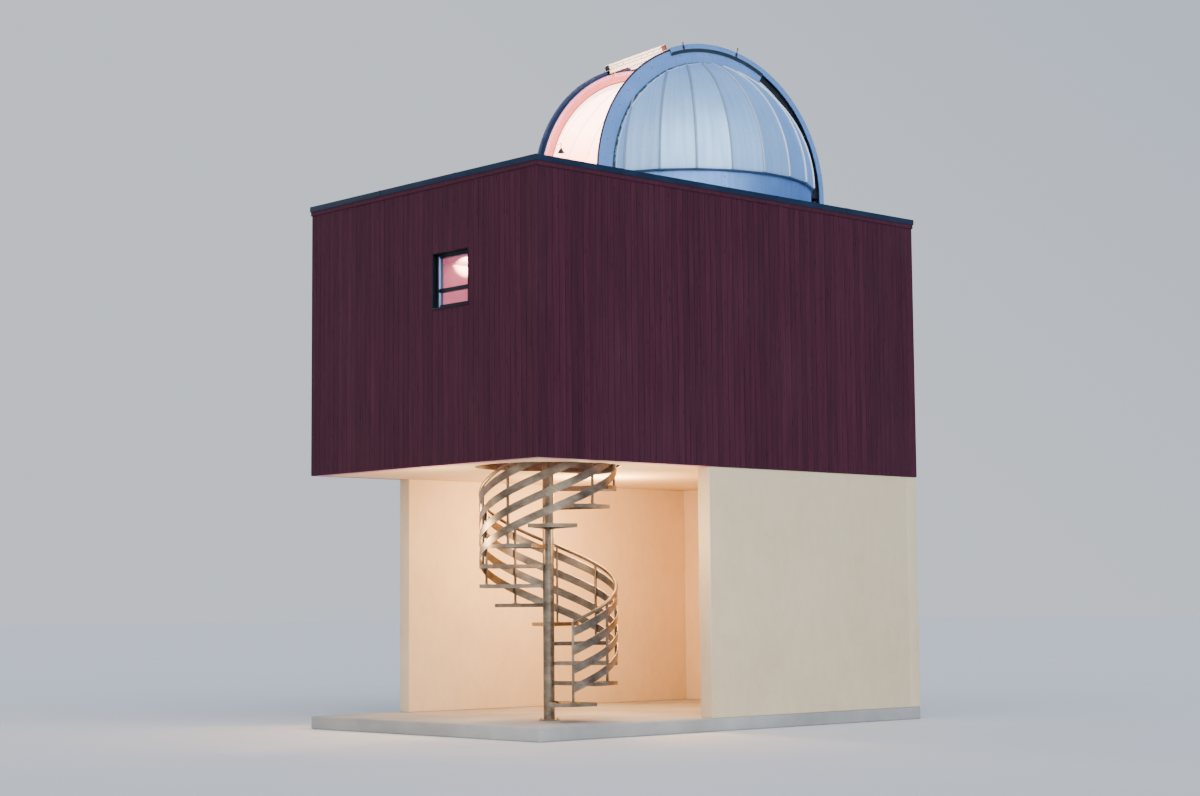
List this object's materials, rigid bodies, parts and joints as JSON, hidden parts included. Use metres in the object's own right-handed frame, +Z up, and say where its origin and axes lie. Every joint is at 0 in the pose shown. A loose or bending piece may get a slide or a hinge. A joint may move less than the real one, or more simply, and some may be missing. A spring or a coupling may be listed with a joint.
{
  "type": "observatory dome tower",
  "caption": "Rotating metal observatory dome with an up-and-over shutter on a square board-clad tower with an open ground storey and a spiral stair.",
  "frame": {"origin": "ground level, under the centre of the tower's plan", "axes": "+Z up; -Y is the face with the window; +X is the long face on the window's side"},
  "size_m": [4.184, 6.344, 8.4464],
  "materials": {
    "red_boards": "stained vertical boards",
    "plaster": "matt plaster",
    "concrete": "matt",
    "dark_metal": "satin",
    "bronze_steel": "satin",
    "galvanised": "weathered galvanised sheet",
    "steel": "dull",
    "timber": "plain",
    "glass": "clear",
    "nylon": "matt"
  },
  "bodies": {
    "tower": {"floor_slab": "concrete", "lower_left_wall": "plaster", "lower_right_wall": "plaster", "lower_rear_wall": "plaster", "upper_floor": "timber", "front_wall_left": "red_boards", "front_wall_right": "red_boards", "front_wall_sill": "red_boards", "front_wall_head": "red_boards", "upper_left_wall": "red_boards", "upper_right_wall": "red_boards", "upper_rear_wall": "red_boards", "coping_front": "dark_metal", "coping_right": "dark_metal", "coping_rear": "dark_metal", "coping_left": "dark_metal", "window_frame": "dark_metal", "window_glass_lower": "glass", "window_glass_upper": "glass", "stair_pole": "bronze_steel", "stair_treads": "bronze_steel", "stair_guard": "bronze_steel", "roof_deck": "timber", "dome_curb": "timber", "dome_rollers": "steel"},
    "dome": {"base_ring": "steel", "dome_skirt": "galvanised", "gores_right": "galvanised", "gores_left": "galvanised", "gores_rear": "galvanised", "girder_right": "galvanised", "girder_left": "galvanised", "slot_rear_cross": "galvanised", "slot_sill": "galvanised", "rear_rail_right": "dark_metal", "rear_rail_left": "dark_metal"},
    "shutter": {"shutter_panel": "galvanised", "shutter_frame": "galvanised", "shutter_front_plate": "galvanised", "shutter_runner_right": "nylon", "shutter_runner_left": "nylon", "shutter_eye_right": "dark_metal", "shutter_eye_left": "dark_metal", "shutter_hook_right": "dark_metal", "shutter_hook_left": "dark_metal"}
  },
  "joints": [
    {"name": "dome_rotation", "type": "hinge", "parent": "tower", "child": "dome", "pos_m": [0, 1.08, 6.637], "axis": [0, 0, 1], "continuous": true},
    {"name": "shutter_travel", "type": "hinge", "parent": "dome", "child": "shutter", "pos_m": [0, 1.08, 6.637], "axis": [0.9905, -0.1374, 0], "range_deg": [-12, 66]}
  ]
}
